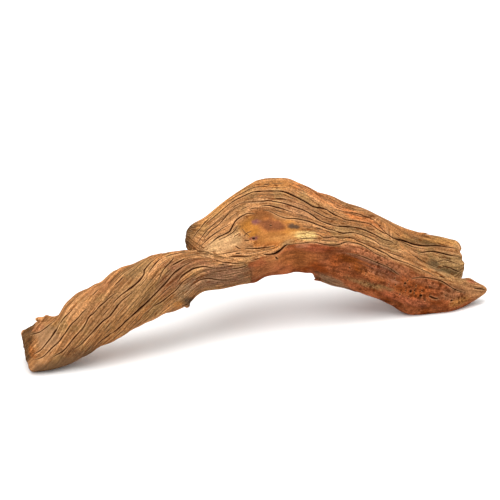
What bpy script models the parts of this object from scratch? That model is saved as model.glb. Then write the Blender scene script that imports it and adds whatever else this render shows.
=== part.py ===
"""A piece of driftwood: one log that forks, weathered down to its heartwood.

The log stands like an arch on three places: the broken foot of its long arm, the
belly of its tongue, and the stub that forks off behind the tongue. Each limb is
lofted from a few cross-sections. The limbs are then grown together into one solid,
and its feet are worn flat where they stand.

Run it with: blender --background --python part.py
"""

import math

import bmesh
import bpy
from mathutils import Vector

# ---------------------------------------------------------------- driving dimensions

LOG_LENGTH = 0.508          # end to end along X
DRAWN_LENGTH = 508.0        # the same length in the drawing units of the limb tables
UNIT = LOG_LENGTH / DRAWN_LENGTH

LEAN = math.radians(25.0)   # how far the log's grain face leans back from upright

SECTION_POINTS = 48         # points round one cross-section
RING_SPACING = 5.0          # drawing units between lofted sections
OVAL = 2.2                  # 2 is an ellipse, 3 a rounded box
EDGE_WIDTH = math.radians(26.0)   # how far round a section its ridge spreads
GROW_VOXEL = 0.0022         # size of the cells in which the limbs grow together
GROW_ROUNDS = 6             # rounds of smoothing over the joins
SOLE_LEVEL = 2.0            # drawing units that the three feet have worn away
FACES_WANTED = 9000         # triangles of the finished solid

WOOD_COLOUR = (0.46, 0.23, 0.10, 1.0)
WOOD_ROUGHNESS = 0.75

# Each row is one cross-section, in a plane square to X: the place x, y, z of its
# heart; how far it reaches up, down, to the front and to the back, all leaning back
# with the log; then the ridge that stands out of it, in degrees from the top round
# to the front, and by how much. Lengths are in drawing units.

ARM = (
    #  x     y    z   up down front back  edge out
    (-264, -88,  20,  18,  20,  19,  18,   60,  2),
    (-252, -87,  22,  24,  25,  23,  22,   60,  3),
    (-240, -85,  25,  27,  28,  26,  24,   60,  4),
    (-228, -83,  29,  26,  31,  26,  24,   60,  4),
    (-216, -80,  33,  24,  33,  25,  24,   60,  4),
    (-205, -77,  39,  34,  35,  27,  25,   60,  4),
    (-191, -74,  45,  35,  36,  27,  25,   60,  4),
    (-167, -66,  58,  36,  37,  26,  25,   60,  4),
    (-142, -58,  68,  35,  36,  26,  25,   60,  4),
    (-117, -48,  77,  33,  34,  26,  26,   60,  3),
    ( -92, -37,  79,  30,  31,  26,  26,   60,  2),
    ( -80, -31,  79,  28,  28,  25,  26,   60,  2),
    ( -67, -26,  80,  22,  19,  25,  26,   60,  1),
    ( -41, -15,  77,  18,  16,  25,  26,   60,  0),
    ( -15,  -4,  77,  16,  14,  22,  26,   60,  0),
    (  20,   8,  85,  10,   8,  14,  20,   60,  0),
)

TRUNK = (
    ( -84,   8, 105,   9,  10,   9,  12,   90,  0),
    ( -80,   8, 104,  16,  13,  14,  17,   90,  0),
    ( -76,   8, 103,  20,  13,  18,  19,   90,  1),
    ( -64,   8,  97,  32,  12,  23,  22,   95,  3),
    ( -43,   8,  85,  61,  12,  27,  28,   95,  5),
    ( -15,   9,  78,  86,  21,  27,  32,   95,  8),
    (   1,  11,  84,  85,  22,  27,  33,   92,  8),
    (  25,  14,  93,  76,  29,  27,  33,   90,  8),
    (  40,  17,  96,  66,  31,  27,  32,   90,  8),
    (  82,  27,  93,  44,  47,  27,  30,   90,  9),
    ( 125,  40,  73,  40,  50,  26,  27,   90,  9),
    ( 148,  47,  58,  30,  50,  25,  24,   90,  8),
    ( 170,  52,  41,  20,  47,  24,  22,   90,  7),
    ( 192,  55,  35,  13,  43,  22,  20,   90,  6),
    ( 214,  57,  31,  10,  36,  20,  18,   88,  5),
    ( 232,  58,  26,   7,  24,  13,  12,   85,  3),
    ( 246,  59,  21,   5,  12,   7,   7,   80,  1),
    ( 257,  59,  17,   2,   2,   2,   2,   80,  0),
)

STUB = (
    (  10,  28, 132,  12,  14,   8,  10,   90,  0),
    (  40,  34, 127,  20,  20,  15,  20,   90,  0),
    (  73,  43, 119,  22,  24,  21,  24,   90,  0),
    ( 100,  52, 103,  23,  25,  21,  26,   90,  0),
    ( 127,  62,  86,  23,  27,  21,  26,   90,  0),
    ( 168,  79,  62,  20,  31,  21,  25,   90,  0),
    ( 205,  97,  40,  26,  38,  20,  24,   90,  0),
    ( 221, 103,  34,  25,  34,  18,  22,   90,  0),
    ( 230, 106,  31,  22,  24,  15,  18,   90,  0),
    ( 234, 107,  31,  15,  17,  10,  14,   90,  0),
)

NUB = (
    ( -74, -28,  64,   8,   8,   7,   8,   90,  0),
    ( -80, -30,  53,   6,   6,   5,   5,   90,  0),
    ( -86, -31,  43,   3,   3,   2,   2,   90,  0),
)

SHARD = (
    ( 104,  26,  42,   9,   8,   8,   9,   90,  0),
    (  80,  16,  51,   5,   5,   5,   6,   90,  0),
    (  54,   8,  57,   1,   1,   2,   2,   90,  0),
)

# Where the arm snapped off: a point on each broken face, and the way it faces.

ARM_BREAKS = (
    ((-251,  -88,  30), (-0.95, -0.26, -0.14)),
    ((-240,  -98,  45), (-0.30, -0.72,  0.62)),
    ((-248,  -82,  42), (-0.55,  0.10,  0.80)),
)

RISE = Vector((0.0, math.sin(LEAN), math.cos(LEAN)))
AHEAD = Vector((0.0, -math.cos(LEAN), math.sin(LEAN)))


def clear_scene():
    """Takes away whatever the start-up scene holds."""
    for item in list(bpy.data.objects):
        bpy.data.objects.remove(item, do_unlink=True)


def between(before, start, end, after, share):
    """Catmull-Rom value a share of the way from start to end."""
    bend = 2 * before - 5 * start + 4 * end - after
    turn = 3 * start - before - 3 * end + after
    return start + 0.5 * share * ((end - before) + share * (bend + share * turn))


def finer(stations):
    """The stations of a limb with new ones read smoothly between them."""
    rows = []
    last = len(stations) - 1
    for i in range(last):
        near = [stations[max(0, min(last, i + k))] for k in (-1, 0, 1, 2)]
        run = abs(near[2][0] - near[1][0])
        parts = max(1, round(run / RING_SPACING))
        for part in range(parts):
            rows.append([between(*values, part / parts) for values in zip(*near)])
    rows.append(list(stations[-1]))
    return rows


def section(row):
    """The points of one cross-section."""
    x, y, z, up, down, front, back, edge, out = row
    heart = Vector((x, y, z))
    points = []
    for i in range(SECTION_POINTS):
        angle = 2 * math.pi * i / SECTION_POINTS
        c, s = math.cos(angle), math.sin(angle)
        reach = (
            abs(c / (up if c > 0 else down)) ** OVAL
            + abs(s / (front if s > 0 else back)) ** OVAL
        ) ** (-1 / OVAL)
        reach += out * math.exp(-(((angle - math.radians(edge)) / EDGE_WIDTH) ** 2))
        points.append(UNIT * (heart + reach * (c * RISE + s * AHEAD)))
    return points


def loft(name, stations):
    """One limb as a closed mesh through its cross-sections."""
    rows = finer(stations)
    body = bmesh.new()
    rings = [[body.verts.new(point) for point in section(row)] for row in rows]
    for near, far in zip(rings, rings[1:]):
        for i in range(SECTION_POINTS):
            j = (i + 1) % SECTION_POINTS
            body.faces.new((near[i], near[j], far[j], far[i]))
    body.faces.new(rings[0])
    body.faces.new(rings[-1])
    return as_object(name, body)


def as_object(name, body):
    """Stores a closed bmesh as an object, its faces outwards."""
    bmesh.ops.recalc_face_normals(body, faces=body.faces)
    mesh = bpy.data.meshes.new(name)
    body.to_mesh(mesh)
    body.free()
    item = bpy.data.objects.new(name, mesh)
    bpy.context.scene.collection.objects.link(item)
    return item


def cut_flat(item, point, facing):
    """Takes away all that lies beyond a plane, and closes the cut with flat faces."""
    body = bmesh.new()
    body.from_mesh(item.data)
    whole = body.verts[:] + body.edges[:] + body.faces[:]
    cut = bmesh.ops.bisect_plane(
        body, geom=whole, plane_co=point, plane_no=facing, clear_outer=True, dist=1e-6
    )
    rim = [part for part in cut["geom_cut"] if isinstance(part, bmesh.types.BMEdge)]
    bmesh.ops.holes_fill(body, edges=rim, sides=0)
    bmesh.ops.recalc_face_normals(body, faces=body.faces)
    body.to_mesh(item.data)
    body.free()


def select_only(items):
    """Selects these objects and makes the first one active."""
    bpy.ops.object.select_all(action="DESELECT")
    for item in items:
        item.select_set(True)
    bpy.context.view_layer.objects.active = items[0]


def grow_together(limbs):
    """Joins the limbs into one solid with soft hollows where they meet."""
    select_only(limbs)
    bpy.ops.object.join()
    log = bpy.context.view_layer.objects.active
    grown = log.modifiers.new("grow", "REMESH")
    grown.mode = "VOXEL"
    grown.voxel_size = GROW_VOXEL
    soften = log.modifiers.new("soften", "SMOOTH")
    soften.factor = 0.5
    soften.iterations = GROW_ROUNDS
    for name in ("grow", "soften"):
        bpy.ops.object.modifier_apply(modifier=name)
    thin = log.modifiers.new("thin", "DECIMATE")
    thin.ratio = FACES_WANTED / (2 * len(log.data.polygons))
    bpy.ops.object.modifier_apply(modifier="thin")
    return log


def stand_on_origin(log):
    """Moves the mesh so that the middle of its underside is at the origin."""
    points = [vert.co for vert in log.data.vertices]
    low = Vector([min(point[axis] for point in points) for axis in range(3)])
    high = Vector([max(point[axis] for point in points) for axis in range(3)])
    middle = (low + high) / 2
    shift = Vector((middle.x, middle.y, low.z))
    for vert in log.data.vertices:
        vert.co -= shift


def weathered_wood():
    """Bare, sun-dried heartwood."""
    wood = bpy.data.materials.new("weathered wood")
    wood.use_nodes = True
    shader = wood.node_tree.nodes["Principled BSDF"]
    shader.inputs["Base Color"].default_value = WOOD_COLOUR
    shader.inputs["Roughness"].default_value = WOOD_ROUGHNESS
    shader.inputs["Metallic"].default_value = 0.0
    return wood


def main():
    clear_scene()
    arm = loft("driftwood", ARM)
    for point, facing in ARM_BREAKS:
        cut_flat(arm, UNIT * Vector(point), Vector(facing))
    limbs = [
        arm,
        loft("trunk", TRUNK),
        loft("stub", STUB),
        loft("nub", NUB),
        loft("shard", SHARD),
    ]
    log = grow_together(limbs)
    cut_flat(log, Vector((0.0, 0.0, UNIT * SOLE_LEVEL)), Vector((0.0, 0.0, -1.0)))
    stand_on_origin(log)
    log.data.materials.append(weathered_wood())
    log.data.polygons.foreach_set("use_smooth", [True] * len(log.data.polygons))


main()
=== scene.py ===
"""A weathered driftwood log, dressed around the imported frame.

The log is one piece. It starts as a copy of the frame's solid, gets its splinters and
chips, is remeshed finely, and is then worn, cracked and pitted along its grain. The
grain runs in the log's own coordinates: how far along a limb, and how far round it.
"""

import logging
import math
from dataclasses import dataclass, field
from enum import Enum
from functools import partial
from typing import Any, Iterable, Sequence

import bpy
import numpy as np
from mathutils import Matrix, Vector
from mathutils.kdtree import KDTree


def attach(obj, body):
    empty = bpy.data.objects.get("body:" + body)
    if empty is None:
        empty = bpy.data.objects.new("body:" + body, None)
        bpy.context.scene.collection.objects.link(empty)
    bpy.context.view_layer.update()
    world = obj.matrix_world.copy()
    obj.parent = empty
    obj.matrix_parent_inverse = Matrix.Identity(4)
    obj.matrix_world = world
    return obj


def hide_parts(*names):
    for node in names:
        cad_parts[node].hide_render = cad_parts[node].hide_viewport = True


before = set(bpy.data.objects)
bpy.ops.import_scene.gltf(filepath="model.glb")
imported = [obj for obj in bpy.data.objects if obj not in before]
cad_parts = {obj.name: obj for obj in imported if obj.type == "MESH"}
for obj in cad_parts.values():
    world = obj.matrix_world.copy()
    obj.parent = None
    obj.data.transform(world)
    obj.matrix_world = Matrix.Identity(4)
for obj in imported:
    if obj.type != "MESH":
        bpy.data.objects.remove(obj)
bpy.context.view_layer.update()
LOG = logging.getLogger("driftwood")

MM = 0.001
LEAN = math.radians(25.0)   # how far the log's grain face leans back from upright
RISE = np.array([0.0, math.sin(LEAN), math.cos(LEAN)])
AHEAD = np.array([0.0, -math.cos(LEAN), math.sin(LEAN)])
DRAWN_AT = np.array([0.0, 7.1, 2.0])   # mm, from the limb tables to the frame's origin
GRAIN_RADIUS = 28.0         # mm, of the straightened limb on which the grain is drawn

Array = np.ndarray
Points = Sequence[tuple[float, float]]
Span = tuple[float, float]


# ---------------------------------------------------------------- small helpers


def linear(code: str) -> tuple[float, float, float, float]:
    """Turns an sRGB hex colour into linear RGBA.

    Args:
        code: the colour as "#RRGGBB".

    Returns:
        Linear red, green, blue and an alpha of 1.
    """
    parts = [int(code[i:i + 2], 16) / 255 for i in (1, 3, 5)]
    red, green, blue = (
        c / 12.92 if c <= 0.04045 else ((c + 0.055) / 1.055) ** 2.4 for c in parts
    )
    return red, green, blue, 1.0


def ease(low: float, high: float, value: Array) -> Array:
    """Smooth step from 0 at low to 1 at high.

    Args:
        low: value where the step starts.
        high: value where it ends; below low for a falling step.
        value: what is stepped.

    Returns:
        Numbers from 0 to 1.
    """
    share = np.clip((value - low) / (high - low), 0.0, 1.0)
    return share * share * (3 - 2 * share)


def smooth_path(points: Array, spacing: float) -> Array:
    """Catmull-Rom curve through points, read at an even spacing.

    Args:
        points: the points it passes through, one row each.
        spacing: distance between the points that come back.

    Returns:
        The new points.
    """
    ends = np.vstack([2 * points[0] - points[1], points, 2 * points[-1] - points[-2]])
    rows = []
    for i in range(1, len(ends) - 2):
        p0, p1, p2, p3 = ends[i - 1:i + 3]
        t = np.linspace(0, 1, 17)[:-1, None]
        rows.append(
            0.5 * (2 * p1 + (p2 - p0) * t + (2 * p0 - 5 * p1 + 4 * p2 - p3) * t**2
                   + (3 * p1 - p0 - 3 * p2 + p3) * t**3)
        )
    rows.append(points[-1:])
    fine = np.vstack(rows)
    run = np.r_[0, np.cumsum(np.linalg.norm(np.diff(fine, axis=0), axis=1))]
    count = max(2, int(run[-1] / spacing) + 1)
    wanted = np.linspace(0, run[-1], count)
    return np.stack([np.interp(wanted, run, fine[:, k]) for k in range(fine.shape[1])], 1)


def face_place(points: Array) -> Array:
    """Places in mm as x, height up the leaning face, and distance ahead of it."""
    return np.stack([points[:, 0], points @ RISE, points @ AHEAD], 1)


def from_face(places: Array) -> Array:
    """Turns x, height and distance ahead back into points in mm."""
    x_part = np.outer(places[:, 0], [1.0, 0.0, 0.0])
    return x_part + np.outer(places[:, 1], RISE) + np.outer(places[:, 2], AHEAD)


def select_only(items: Iterable[bpy.types.Object]) -> None:
    """Selects these objects and makes the first one active."""
    bpy.ops.object.select_all(action="DESELECT")
    items = list(items)
    for item in items:
        item.select_set(True)
    bpy.context.view_layer.objects.active = items[0]


def rows_of(items: Any, name: str) -> Array:
    """Reads one vector from each of a mesh's items, one row each."""
    flat = np.empty(len(items) * 3, np.float32)
    items.foreach_get(name, flat)
    return flat.reshape(-1, 3).astype(float)


def coordinates(mesh: bpy.types.Mesh) -> Array:
    """The mesh's vertices in mm, one row each."""
    return rows_of(mesh.vertices, "co") / MM


def normals(mesh: bpy.types.Mesh) -> Array:
    """The mesh's vertex normals, one row each."""
    return rows_of(mesh.vertex_normals, "vector")


def place(mesh: bpy.types.Mesh, points: Array) -> None:
    """Moves the mesh's vertices to points in mm."""
    mesh.vertices.foreach_set("co", (points * MM).astype(np.float32).ravel())
    mesh.update()


def tree_of(points: Iterable[Array]) -> KDTree:
    """A tree that finds the nearest of these points."""
    points = list(points)
    tree = KDTree(len(points))
    for i, point in enumerate(points):
        tree.insert(point, i)
    tree.balance()
    return tree


def running_mean(values: Array, span: int) -> Array:
    """Evens a row of numbers over an odd span, with its ends held."""
    padded = np.pad(values, span // 2, mode="edge")
    return np.convolve(padded, np.ones(span) / span, mode="valid")


def node(
    tree: bpy.types.NodeTree,
    kind: str,
    inputs: dict[Any, Any] | None = None,
    stops: Sequence[tuple[float, tuple[float, float, float, float]]] = (),
    **settings: Any,
) -> Any:
    """Adds a node with its settings and links.

    Args:
        tree: the material's node tree.
        kind: the node's type, without the ShaderNode in front.
        inputs: each input by name or number, with its value or the socket it reads.
        stops: positions and colours of a ramp.
        settings: the node's other properties.

    Returns:
        The new node's outputs.
    """
    made = tree.nodes.new("ShaderNode" + kind)
    for name, value in settings.items():
        setattr(made, name, value)
    for key, value in (inputs or {}).items():
        if isinstance(value, bpy.types.NodeSocket):
            tree.links.new(value, made.inputs[key])
        else:
            made.inputs[key].default_value = value
    if stops:
        ramp = made.color_ramp.elements
        while len(ramp) < len(stops):
            ramp.new(1.0)
        for element, (position, colour) in zip(ramp, stops):
            element.position, element.color = position, colour
    return made.outputs


class Stored(Enum):
    """What is stored on the log's surface for its finish to read."""

    GRAIN = "grain"                # the place along the grain, in metres
    # its hollow measure gives painted shade in the hollows and a painted highlight on the
    # ridges
    WORN_AND_SHADING = "worn"                  # how smooth, how hollow and how red the wood is
    ROT = "rot"                    # how worm-eaten it is
    # the stains' colour, with the painted shade and painted highlights among them
    STAIN_AND_LIGHT_TINT = "stain"                # a colour, and how much of it
    CRACK_SIDE = "crack_side_{}"   # mm sideways to the cracks of three channels
    CRACK_WIDE = "crack_wide_{}"   # half widths of those cracks, in mm


class Noise(Enum):
    """The seeded noises on the log: size of a cell along each axis in mm, and seed."""

    STRANDS = ((95, 7, 7), 1)
    FINE_STRANDS = ((50, 3.2, 3.2), 2)
    VALLEYS = ((110, 8, 8), 3)
    LUMPS = ((26, 26, 26), 4)
    RIPPLE = ((7, 7, 7), 5)
    WANDER_X = ((9, 9, 9), 21)
    WANDER_HEIGHT = ((9, 9, 9), 22)
    SWAY = ((40, 9, 9), 31)
    RAGGED = ((7, 7, 7), 41)
    FINE_RAGGED = ((3, 3, 3), 42)
    PATCHES = ((16, 16, 16), 43)

    def at(self, points: Array) -> Array:
        """Reads the noise, which is smooth and repeats after 64 cells.

        Args:
            points: places in mm, one row each.

        Returns:
            One number from -1 to 1 for each point.
        """
        size, seed = self.value
        lattice = np.random.default_rng(seed).uniform(-1.0, 1.0, (64, 64, 64))
        scaled = points / np.asarray(size)
        cell = np.floor(scaled).astype(int)
        share = scaled - cell
        share = share * share * (3 - 2 * share)
        total = np.zeros(len(points))
        for corner in np.ndindex(2, 2, 2):
            weight = np.prod(np.where(corner, share, 1 - share), axis=1)
            index = tuple(((cell + corner) % 64).T)
            total += weight * lattice[index]
        return total


# ---------------------------------------------------------------- the limbs

# Each row is one cross-section of a limb, in mm: the place x, y, z of its heart, and how
# far it reaches up, down, to the front and to the back, leaning back with the log.

ARM_STATIONS = (
    (-264, -88, 20, 18, 20, 19, 18), (-252, -87, 22, 24, 25, 23, 22),
    (-240, -85, 25, 27, 28, 30, 24), (-228, -83, 29, 26, 31, 30, 24),
    (-216, -80, 33, 24, 33, 29, 24), (-205, -77, 39, 34, 35, 31, 25),
    (-191, -74, 45, 35, 36, 31, 25), (-167, -66, 58, 36, 37, 30, 25),
    (-142, -58, 68, 35, 36, 30, 25), (-117, -48, 77, 33, 34, 29, 26),
    (-92, -37, 79, 30, 31, 28, 26), (-80, -31, 79, 28, 28, 27, 26),
    (-67, -26, 80, 22, 19, 26, 26), (-41, -15, 77, 18, 16, 25, 26),
    (-15, -4, 77, 16, 14, 22, 26), (20, 8, 85, 10, 8, 14, 20),
)
TRUNK_STATIONS = (
    (-84, 8, 105, 9, 10, 9, 12), (-80, 8, 104, 16, 13, 14, 17),
    (-76, 8, 103, 20, 13, 19, 19), (-64, 8, 97, 32, 12, 26, 22),
    (-43, 8, 85, 61, 12, 32, 28), (-15, 9, 78, 86, 21, 35, 32),
    (1, 11, 84, 85, 22, 35, 33), (25, 14, 93, 76, 29, 35, 33),
    (40, 17, 96, 66, 31, 35, 32), (82, 27, 93, 44, 47, 36, 30),
    (125, 40, 73, 40, 50, 35, 27), (148, 47, 58, 30, 50, 33, 24),
    (170, 52, 41, 20, 47, 31, 22), (192, 55, 35, 13, 43, 28, 20),
    (214, 57, 31, 10, 36, 25, 18), (232, 58, 26, 7, 24, 16, 12),
    (246, 59, 21, 5, 12, 8, 7), (257, 59, 17, 2, 2, 2, 2),
)
STUB_STATIONS = (
    (10, 28, 132, 12, 14, 8, 10), (40, 34, 127, 20, 20, 15, 20),
    (73, 43, 119, 22, 24, 21, 24), (100, 52, 103, 23, 25, 21, 26),
    (127, 62, 86, 23, 27, 21, 26), (168, 79, 62, 20, 31, 21, 25),
    (205, 97, 40, 26, 38, 20, 24), (221, 103, 34, 25, 34, 18, 22),
    (230, 106, 31, 22, 24, 15, 18), (234, 107, 31, 15, 17, 10, 14),
)

# Lines of grain across the log's leaning face, as x and height in mm, from the crest
# down, and which share of the way round to the keel each one stands for.

GRAIN_GUIDES: tuple[tuple[float, Points], ...] = (
    (0.22, ((-84, 108), (-65, 108), (-48, 122), (-32, 136), (-12, 146), (2, 147),
            (22, 146), (46, 135), (67, 123), (97, 115), (125, 108), (143, 97),
            (173, 88), (227, 80), (257, 60))),
    (0.42, ((-84, 98), (-65, 86), (-51, 95), (-37, 103), (-25, 118), (-12, 125),
            (7, 127), (24, 120), (50, 113), (72, 105), (91, 101), (113, 96),
            (134, 87), (160, 82), (187, 67), (215, 54), (257, 45))),
    (0.50, ((-84, 94), (-65, 79), (-46, 79), (-28, 84), (-10, 84), (10, 86),
            (30, 98), (50, 100), (78, 96), (101, 91), (128, 81), (151, 72),
            (175, 62), (203, 51), (257, 40))),
    (0.60, ((-84, 92), (-65, 74), (-46, 71), (-19, 70), (0, 76), (12, 79),
            (24, 88), (42, 89), (71, 89), (92, 89), (106, 88), (128, 78),
            (151, 69), (175, 59), (203, 49), (257, 36))),
)
RIDGE_GUIDE = 4.0   # the last of them runs along the ridge over the sheltered face

# How fast the arm's spiral grain turns at each x in mm, in half turns per mm.
ARM_TWIST = (
    (-264.0, 0.013), (-225.0, 0.012), (-190.0, 0.0072), (-110.0, 0.0078),
    (-85.0, 0.0060), (-50.0, 0.0010), (20.0, 0.0),
)


@dataclass
class Limb:
    """One limb of the log, as cross-sections along x.

    Attributes:
        stations: its cross-sections.
        rows: the cross-sections at every millimetre.
        arc: the share of the way round at each row and angle.
        rise: the height above the heart at each row and angle, in mm.
    """

    stations: Sequence[Sequence[float]]
    rows: Array = field(init=False)
    arc: Array = field(init=False)
    rise: Array = field(init=False)

    ANGLES = 97   # directions round a cross-section, the first and last the same
    OVAL = 2.2    # power of its outline: 2 for an ellipse, more for a squarer one

    def __post_init__(self) -> None:
        """Reads the cross-sections every millimetre and measures round them."""
        table = np.array(self.stations, float)
        table[:, 0:3] -= DRAWN_AT
        fine = smooth_path(table, 0.5)
        x = np.arange(math.ceil(fine[0, 0]), math.floor(fine[-1, 0]) + 1)
        columns = [np.interp(x, fine[:, 0], fine[:, k]) for k in range(1, 7)]
        self.rows = np.stack([x, *columns], 1)
        angles = np.linspace(0, 2 * np.pi, self.ANGLES)
        reach = self.reach(self.rows[:, None, 3:7], angles[None, :])
        self.rise = reach * np.cos(angles)
        out = np.stack([self.rise, reach * np.sin(angles)], 2)
        steps = np.linalg.norm(np.diff(out, axis=1), axis=2)
        run = np.concatenate([np.zeros((len(x), 1)), np.cumsum(steps, axis=1)], 1)
        half = self.ANGLES // 2
        front = run[:, :half + 1] / run[:, half:half + 1]
        back = 1 + (run[:, half:] - run[:, half:half + 1]) / (
            run[:, -1:] - run[:, half:half + 1]
        )
        self.arc = np.concatenate([front, back[:, 1:]], 1)

    def reach(self, sizes: Array, angle: Array) -> Array:
        """Distance from the heart to the surface.

        Args:
            sizes: up, down, front and back, in the last axis.
            angle: from the top round to the front, in radians.

        Returns:
            The distance in mm.
        """
        c, s = np.cos(angle), np.sin(angle)
        tall = np.where(c > 0, sizes[..., 0], sizes[..., 1])
        wide = np.where(s > 0, sizes[..., 2], sizes[..., 3])
        return (np.abs(c / tall) ** self.OVAL + np.abs(s / wide) ** self.OVAL) ** (
            -1 / self.OVAL
        )

    def around(self, points: Array) -> tuple[Array, Array, Array]:
        """Where points lie round the limb.

        Args:
            points: places in mm.

        Returns:
            Each point's row in the limb's table, its share of the way round (0 at the
            crest, 1 at the keel, up to 2 behind), and its distance from the heart over
            the limb's reach there.
        """
        x = np.clip(points[:, 0], self.rows[0, 0], self.rows[-1, 0])
        row = x - self.rows[0, 0]
        beyond = np.abs(points[:, 0] - x)
        here = [np.interp(x, self.rows[:, 0], self.rows[:, k]) for k in range(1, 7)]
        dy, dz = points[:, 1] - here[0], points[:, 2] - here[1]
        up = dy * RISE[1] + dz * RISE[2]
        ahead = dy * AHEAD[1] + dz * AHEAD[2]
        angle = np.mod(np.arctan2(ahead, up), 2 * np.pi)
        reach = self.reach(np.stack(here[2:], 1), angle)
        depth = np.hypot(np.hypot(up, ahead), beyond) / reach
        turn = angle / (2 * np.pi) * (self.ANGLES - 1)
        return row, self.lookup(self.arc, row, turn), depth

    def lookup(self, table: Array, row: Array, column: Array) -> Array:
        """Reads a table of the limb between its rows and columns."""
        r = np.clip(row.astype(int), 0, table.shape[0] - 2)
        c = np.clip(column.astype(int), 0, table.shape[1] - 2)
        fr, fc = np.clip(row - r, 0, 1), np.clip(column - c, 0, 1)
        near = table[r, c] * (1 - fc) + table[r, c + 1] * fc
        far = table[r + 1, c] * (1 - fc) + table[r + 1, c + 1] * fc
        return near * (1 - fr) + far * fr

    def share_at(self, line: Points) -> Array:
        """The share of the way round at which a line across the face lies.

        Args:
            line: x and height of the line's points.

        Returns:
            The share at each row of the limb's table.
        """
        xs, heights = np.array(line, float).T
        half = self.ANGLES // 2
        height = np.interp(self.rows[:, 0], xs, heights)
        heart = self.rows[:, 1] * RISE[1] + self.rows[:, 2] * RISE[2]
        shares = []
        for i, rel in enumerate(height - heart):
            rise = self.rise[i, :half + 1][::-1]
            shares.append(np.interp(rel, rise, self.arc[i, :half + 1][::-1]))
        return np.array(shares)


class Grain:
    """The log's grain: for any point on it, its place along and round its limb."""

    GUIDE_GAP = 0.01              # least share of the way round between two guides
    CREST_FADE = (100.0, 170.0)   # mm along the log, over which the stub takes the crest
    CREST_SHARE = 0.42            # grain lines that the stub takes with it there
    STUB_BLEND = (-0.15, 0.2)     # how much nearer the stub is, over which it takes over
    STUB_FROM = (95.0, 150.0)     # mm along the log, where its own grain begins
    STUB_ROUND = ((0, 1, 2), (0, 0.75, 2))   # shares of the way round, and its grain's
    SKIN = 0.85                   # share of a limb's reach that counts as its surface
    ARM_SHIFT = 400.0             # mm, keeps the arm's grain apart from the trunk's
    HALF_ROUND = 1.35             # mm round the trunk's front, for each mm of its height
    BEHIND = 1.6                  # share of the way round where the back begins
    NOT_BELOW = -99.0             # mm, stands for a place that has no ridge above it

    def __init__(self) -> None:
        """Builds the limbs and the lines that guide the grain over the trunk."""
        self.arm = Limb(ARM_STATIONS)
        self.trunk = Limb(TRUNK_STATIONS)
        self.stub = Limb(STUB_STATIONS)
        x = self.trunk.rows[:, 0]
        guides = [np.zeros(len(x))]
        guides += [self.trunk.share_at(line) for _, line in GRAIN_GUIDES]
        guides.append(np.ones(len(x)))
        for i in range(1, len(guides)):
            guides[i] = np.maximum(guides[i], guides[i - 1] + self.GUIDE_GAP)
        guides[-1] = np.maximum(guides[-1], 1.0)
        self.guides = np.stack(guides, 1)
        top = self.CREST_SHARE * ease(*self.CREST_FADE, x)
        named = np.array([share for share, _ in GRAIN_GUIDES])
        below = np.maximum(named[None, :], top[:, None])
        self.labels = np.column_stack([top, below, np.ones(len(x))])

    def over_trunk(self, row: Array, share: Array) -> Array:
        """The grain's turn over the trunk, bent by the guide lines."""
        at = np.clip(row, 0, len(self.guides) - 1.001)
        low, part = at.astype(int), (at - at.astype(int))[:, None]
        knots = self.guides[low] * (1 - part) + self.guides[low + 1] * part
        label = self.labels[low] * (1 - part) + self.labels[low + 1] * part
        turn = label[:, 0].copy()
        for k in range(knots.shape[1] - 1):
            gap = knots[:, k + 1] - knots[:, k]
            turn += (label[:, k + 1] - label[:, k]) * np.clip(
                (share - knots[:, k]) / gap, 0, 1
            )
        behind = 1 + (share - 1) * (1 + label[:, 0])
        return np.where(share > 1, behind, turn)

    def twist(self, x: Array) -> Array:
        """How far the arm's spiral grain has turned by x, in shares of a half turn."""
        places, rates = np.array(ARM_TWIST).T
        fine = np.arange(places[0], places[-1] + 1)
        turned = np.cumsum(np.interp(fine, places, rates))
        return np.interp(x, fine, turned)

    def read(self, points: Array) -> dict[str, Array]:
        """Reads the grain at points.

        Args:
            points: places in mm.

        Returns:
            "stub_part": 1 where the stub's grain rules, 0 elsewhere; "deep": 1 at the
            surface, less inside; "grain": the place on the straightened limb in mm;
            "below": mm below the ridge, on the front.
        """
        _, arm_share, arm_deep = self.arm.around(points)
        row, share, deep = self.trunk.around(points)
        _, stub_share, stub_deep = self.stub.around(points)
        x = points[:, 0]
        is_arm = arm_deep < np.minimum(deep, stub_deep)
        turn = self.over_trunk(row, share)
        stub_turn = np.interp(stub_share, *self.STUB_ROUND)
        stub_part = ease(*self.STUB_BLEND, deep - stub_deep) * ease(*self.STUB_FROM, x)
        stub_part = np.where(is_arm, 0.0, stub_part)
        arm_turn = arm_share + self.twist(x)
        inner = np.minimum(deep, stub_deep)
        inner = np.clip(np.where(is_arm, arm_deep, inner) / self.SKIN, 0.0, 1.0)
        plain = np.where(is_arm, arm_turn, turn)
        gap = np.mod(stub_turn - plain + 1, 2) - 1
        angle = (plain + stub_part * gap) * np.pi
        across = np.stack([np.cos(angle), np.sin(angle)], 1)
        across *= (inner * GRAIN_RADIUS)[:, None]
        shift = np.where(is_arm, self.ARM_SHIFT, 0.0)
        ridge = self.trunk.lookup(self.guides, row, np.full(len(x), RIDGE_GUIDE))
        around = np.interp(x, self.trunk.rows[:, 0], self.HALF_ROUND * (
            self.trunk.rows[:, 3] + self.trunk.rows[:, 4]))
        hidden = is_arm | (share > self.BEHIND)
        return {
            "stub_part": stub_part,
            "deep": inner,
            "grain": np.column_stack([x + shift, across]),
            "below": np.where(hidden, self.NOT_BELOW, (share - ridge) * around),
        }


# ---------------------------------------------------------------- ovals on the face


@dataclass(frozen=True)
class Oval:
    """An oval on the log's leaning face, in mm.

    Attributes:
        x: its middle's place along the log.
        height: its middle's height up the face.
        long: its reach along the log.
        tall: its reach up and down.
    """

    x: float
    height: float
    long: float
    tall: float

    def near(self, face: Array) -> Array:
        """How near each place is to its middle, from 0 far away to 1 there."""
        return np.exp(-(((face[:, 0] - self.x) / self.long) ** 2
                        + ((face[:, 1] - self.height) / self.tall) ** 2))


# Where the outline stands a little higher or lower than the frame's solid, in mm.

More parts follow.
